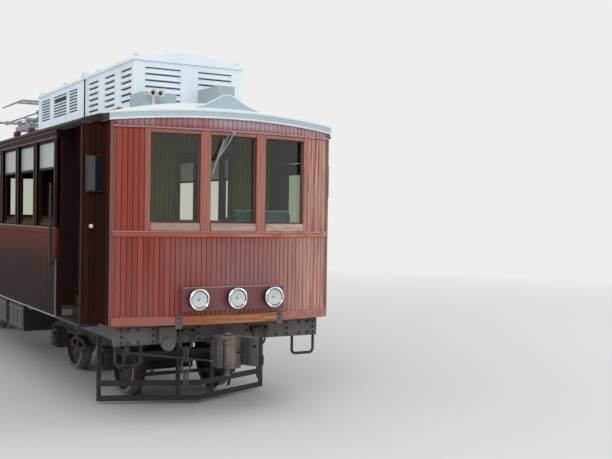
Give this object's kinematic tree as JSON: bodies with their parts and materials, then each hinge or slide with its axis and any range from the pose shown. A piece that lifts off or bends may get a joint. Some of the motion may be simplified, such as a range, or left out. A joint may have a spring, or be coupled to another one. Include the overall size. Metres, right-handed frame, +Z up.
{
  "type": "heritage electric railcar",
  "caption": "Single wooden-bodied narrow-gauge electric railcar with bowed ends, recessed entrances, two motor bogies, louvred roof housings and a diamond pantograph.",
  "frame": {"origin": "under the middle of the car, level with the wheel flanges' lowest points", "axes": "+X across the car, +Y along it towards the rear (the end in the picture faces -Y), +Z up"},
  "size_m": [2.898, 12.04, 3.82],
  "materials": {
    "boards": "varnished reddish hardwood boards",
    "roof_skin": "off-white roof paint on canvas and sheet",
    "housing_paint": "pale blue-white enamel",
    "window_glass": "clear sheet glass",
    "lining": "olive-brown varnished lining",
    "floor_planks": "worn floor planks",
    "seat_wood": "varnished slats",
    "desk_paint": "teal desk paint",
    "lamp_board_paint": "maroon painted board",
    "lamp_chrome": "chromed rings and reflectors",
    "frame_paint": "dark grey frame paint",
    "black_iron": "black paint on iron",
    "cast_steel": "worn, oiled cast steel",
    "wheel_steel": "rolled steel, polished at the tread",
    "panto_paint": "weathered grey tube",
    "horn_paint": "cream enamel",
    "roof_box_paint": "blue-grey paint"
  },
  "bodies": {
    "body": {"cab_shell_front": "boards", "cab_shell_rear": "boards", "side_wall_left": "boards", "side_wall_right": "boards", "bulkheads": "lining", "floor": "floor_planks", "roof": "roof_skin", "roof_end_front": "roof_skin", "roof_end_rear": "roof_skin", "side_windows": "window_glass", "end_windows": "window_glass", "seats": "seat_wood", "driver_desks": "desk_paint", "louvre_housing_front": "housing_paint", "louvre_housing_rear": "housing_paint", "roof_boxes": "roof_box_paint", "horns": "horn_paint", "pantograph_base": "panto_paint", "lamp_boards": "lamp_board_paint", "headlamps": "lamp_chrome", "coupler_front": "cast_steel", "coupler_rear": "cast_steel", "safety_chains": "cast_steel", "underframe": "frame_paint", "underfloor_boxes": "frame_paint", "air_reservoirs": "black_iron", "handrails": "black_iron", "pilots_and_steps": "black_iron"},
    "bogie_front": {"bogie_frame_front": "frame_paint", "motors_front": "black_iron"},
    "bogie_rear": {"bogie_frame_rear": "frame_paint", "motors_rear": "black_iron"},
    "wheelset_1": {"wheelset_1": "wheel_steel"},
    "wheelset_2": {"wheelset_2": "wheel_steel"},
    "wheelset_3": {"wheelset_3": "wheel_steel"},
    "wheelset_4": {"wheelset_4": "wheel_steel"},
    "door_front_left": {"door_front_left": "boards"},
    "door_front_right": {"door_front_right": "boards"},
    "panto_lower_front": {"pantograph_lower_arm_front": "panto_paint"},
    "panto_upper_front": {"pantograph_upper_arm_front": "panto_paint"},
    "door_rear_left": {"door_rear_left": "boards"},
    "door_rear_right": {"door_rear_right": "boards"},
    "panto_lower_rear": {"pantograph_lower_arm_rear": "panto_paint"},
    "panto_upper_rear": {"pantograph_upper_arm_rear": "panto_paint"},
    "panto_head": {"pantograph_head": "panto_paint"}
  },
  "joints": [
    {"name": "bogie_front_swivel", "type": "hinge", "parent": "body", "child": "bogie_front", "pos_m": [0, -3.3, 0.76], "axis": [0, 0, 1], "range_deg": [-6, 6]},
    {"name": "bogie_rear_swivel", "type": "hinge", "parent": "body", "child": "bogie_rear", "pos_m": [0, 3.3, 0.76], "axis": [0, 0, 1], "range_deg": [-6, 6]},
    {"name": "wheelset_1_spin", "type": "hinge", "parent": "bogie_front", "child": "wheelset_1", "pos_m": [0, -4.25, 0.428], "axis": [1, 0, 0], "continuous": true},
    {"name": "wheelset_2_spin", "type": "hinge", "parent": "bogie_front", "child": "wheelset_2", "pos_m": [0, -2.35, 0.428], "axis": [1, 0, 0], "continuous": true},
    {"name": "wheelset_3_spin", "type": "hinge", "parent": "bogie_rear", "child": "wheelset_3", "pos_m": [0, 2.35, 0.428], "axis": [1, 0, 0], "continuous": true},
    {"name": "wheelset_4_spin", "type": "hinge", "parent": "bogie_rear", "child": "wheelset_4", "pos_m": [0, 4.25, 0.428], "axis": [1, 0, 0], "continuous": true},
    {"name": "door_front_left_hinge", "type": "hinge", "parent": "body", "child": "door_front_left", "pos_m": [-1.152, -4.458, 1.8], "axis": [0, 0, 1], "range_deg": [0, 88]},
    {"name": "door_front_right_hinge", "type": "hinge", "parent": "body", "child": "door_front_right", "pos_m": [1.152, -4.458, 1.8], "axis": [0, 0, -1], "range_deg": [0, 88]},
    {"name": "door_rear_left_hinge", "type": "hinge", "parent": "body", "child": "door_rear_left", "pos_m": [-1.152, 4.458, 1.8], "axis": [0, 0, -1], "range_deg": [0, 88]},
    {"name": "door_rear_right_hinge", "type": "hinge", "parent": "body", "child": "door_rear_right", "pos_m": [1.152, 4.458, 1.8], "axis": [0, 0, 1], "range_deg": [0, 88]},
    {"name": "pantograph_raise", "type": "hinge", "parent": "body", "child": "panto_lower_front", "pos_m": [0, 0.64, 3.48], "axis": [-1, 0, 0], "range_deg": [0, 50]},
    {"name": "pantograph_rear_lower", "type": "hinge", "parent": "body", "child": "panto_lower_rear", "pos_m": [0, 1.24, 3.48], "axis": [1, 0, 0], "range_deg": [0, 50]},
    {"name": "pantograph_front_elbow", "type": "hinge", "parent": "panto_lower_front", "child": "panto_upper_front", "pos_m": [0, -0.50562, 3.58023], "axis": [1, 0, 0], "range_deg": [0, 100]},
    {"name": "pantograph_rear_elbow", "type": "hinge", "parent": "panto_lower_rear", "child": "panto_upper_rear", "pos_m": [0, 2.38562, 3.58023], "axis": [-1, 0, 0], "range_deg": [0, 100]},
    {"name": "pantograph_head_level", "type": "hinge", "parent": "panto_upper_front", "child": "panto_head", "pos_m": [0, 0.64, 3.68046], "axis": [-1, 0, 0], "range_deg": [0, 50]}
  ],
  "couplings": [
    {"joint": "pantograph_rear_lower", "follows": "pantograph_raise", "ratio": 1},
    {"joint": "pantograph_front_elbow", "follows": "pantograph_raise", "ratio": 2},
    {"joint": "pantograph_rear_elbow", "follows": "pantograph_raise", "ratio": 2},
    {"joint": "pantograph_head_level", "follows": "pantograph_raise", "ratio": 1}
  ]
}
